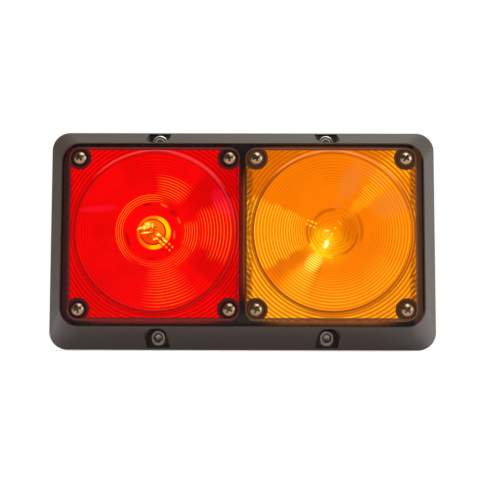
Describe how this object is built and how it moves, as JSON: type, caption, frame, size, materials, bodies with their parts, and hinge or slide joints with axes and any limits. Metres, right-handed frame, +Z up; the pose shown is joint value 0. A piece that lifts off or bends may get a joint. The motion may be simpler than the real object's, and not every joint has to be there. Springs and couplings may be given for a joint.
{
  "type": "tail light cluster",
  "caption": "Rectangular rear lamp with a sloped dark surround, a red stop and tail lens beside an amber indicator lens, ringed faces and corner screws, lit bulbs behind.",
  "frame": {"origin": "centre of the mounting screw pattern, on the mounting face at the back", "axes": "-Y out through the lenses, +Y into the vehicle, +Z up, +X along the lamp's width to the right as seen from the front"},
  "size_m": [0.222, 0.0631, 0.126],
  "materials": {
    "housing_plastic": "moulded, fine satin grain",
    "red_acrylic": "clear red, polished with moulded rings",
    "amber_acrylic": "clear amber, polished with moulded rings",
    "gasket_rubber": "moulded",
    "screw_steel": "nickel plated",
    "mounting_steel": "zinc plated",
    "reflector_metal": "bright, slightly hazed",
    "bulb_glass": "clear blown glass",
    "filament_wire": "glowing coil",
    "cap_brass": "rolled",
    "contact_insulator": "black glass foot",
    "holder_brass": "pressed sheet",
    "base_board": "laminated board",
    "terminal_brass": "stamped strip"
  },
  "bodies": {
    "root": {"housing": "housing_plastic", "red_cell": "housing_plastic", "amber_cell": "housing_plastic", "red_lens": "red_acrylic", "red_lens_gasket": "gasket_rubber", "red_lens_screws": "screw_steel", "red_reflector": "reflector_metal", "red_bulb_glass": "bulb_glass", "red_bulb_filament": "filament_wire", "red_bulb_cap": "cap_brass", "red_bulb_contacts": "contact_insulator", "red_holder_tube": "holder_brass", "red_holder_base": "base_board", "red_holder_terminals": "terminal_brass", "red_holder_screws": "screw_steel", "amber_lens": "amber_acrylic", "amber_lens_gasket": "gasket_rubber", "amber_lens_screws": "screw_steel", "amber_reflector": "reflector_metal", "amber_bulb_glass": "bulb_glass", "amber_bulb_filament": "filament_wire", "amber_bulb_cap": "cap_brass", "amber_bulb_contacts": "contact_insulator", "amber_holder_tube": "holder_brass", "amber_holder_base": "base_board", "amber_holder_terminals": "terminal_brass", "amber_holder_screws": "screw_steel", "mounting_screws": "mounting_steel", "mounting_washers": "mounting_steel", "cable_grommet": "gasket_rubber"}
  },
  "joints": []
}
